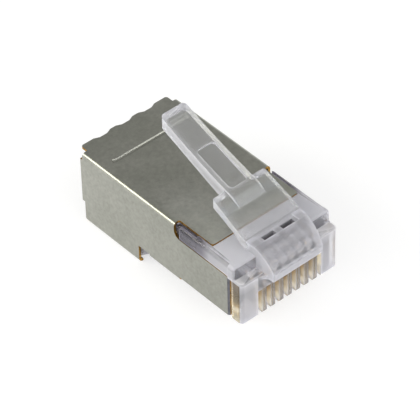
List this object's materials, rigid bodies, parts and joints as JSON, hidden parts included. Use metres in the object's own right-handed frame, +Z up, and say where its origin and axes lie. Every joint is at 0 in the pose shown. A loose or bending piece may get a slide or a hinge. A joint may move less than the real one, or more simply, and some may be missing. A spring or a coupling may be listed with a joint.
{
  "type": "rj45_modular_plug",
  "caption": "Shielded modular plug for round network cable, crimp type: clear moulded body with gold blade contacts and a flexing latch, inside a nickel-plated folded metal shell",
  "frame": {"origin": "middle of the nose's front face, on the contact-side plane of the nose", "axes": "+X across the plug, +Y from the nose towards the cable end, +Z up to the latch side"},
  "size_m": [0.0116, 0.0239, 0.0144],
  "materials": {
    "clear_plastic": "clear, smooth moulded polycarbonate",
    "nickel_sheet": "satin nickel plating on copper alloy sheet, bare copper colour at the sheared edges",
    "gold_plate": "gold flash on copper alloy"
  },
  "bodies": {
    "plug": {"housing": "clear_plastic", "shield_shell": "nickel_sheet", "contact_1": "gold_plate", "contact_2": "gold_plate", "contact_3": "gold_plate", "contact_4": "gold_plate", "contact_5": "gold_plate", "contact_6": "gold_plate", "contact_7": "gold_plate", "contact_8": "gold_plate"},
    "latch": {"latch_lever": "clear_plastic"}
  },
  "joints": [
    {"name": "latch_flex", "type": "hinge", "parent": "plug", "child": "latch", "pos_m": [0, 0.00362, 0.00672], "axis": [1, 0, 0], "range_deg": [-16, 0], "stiffness_Nm_per_rad": 0.1}
  ]
}
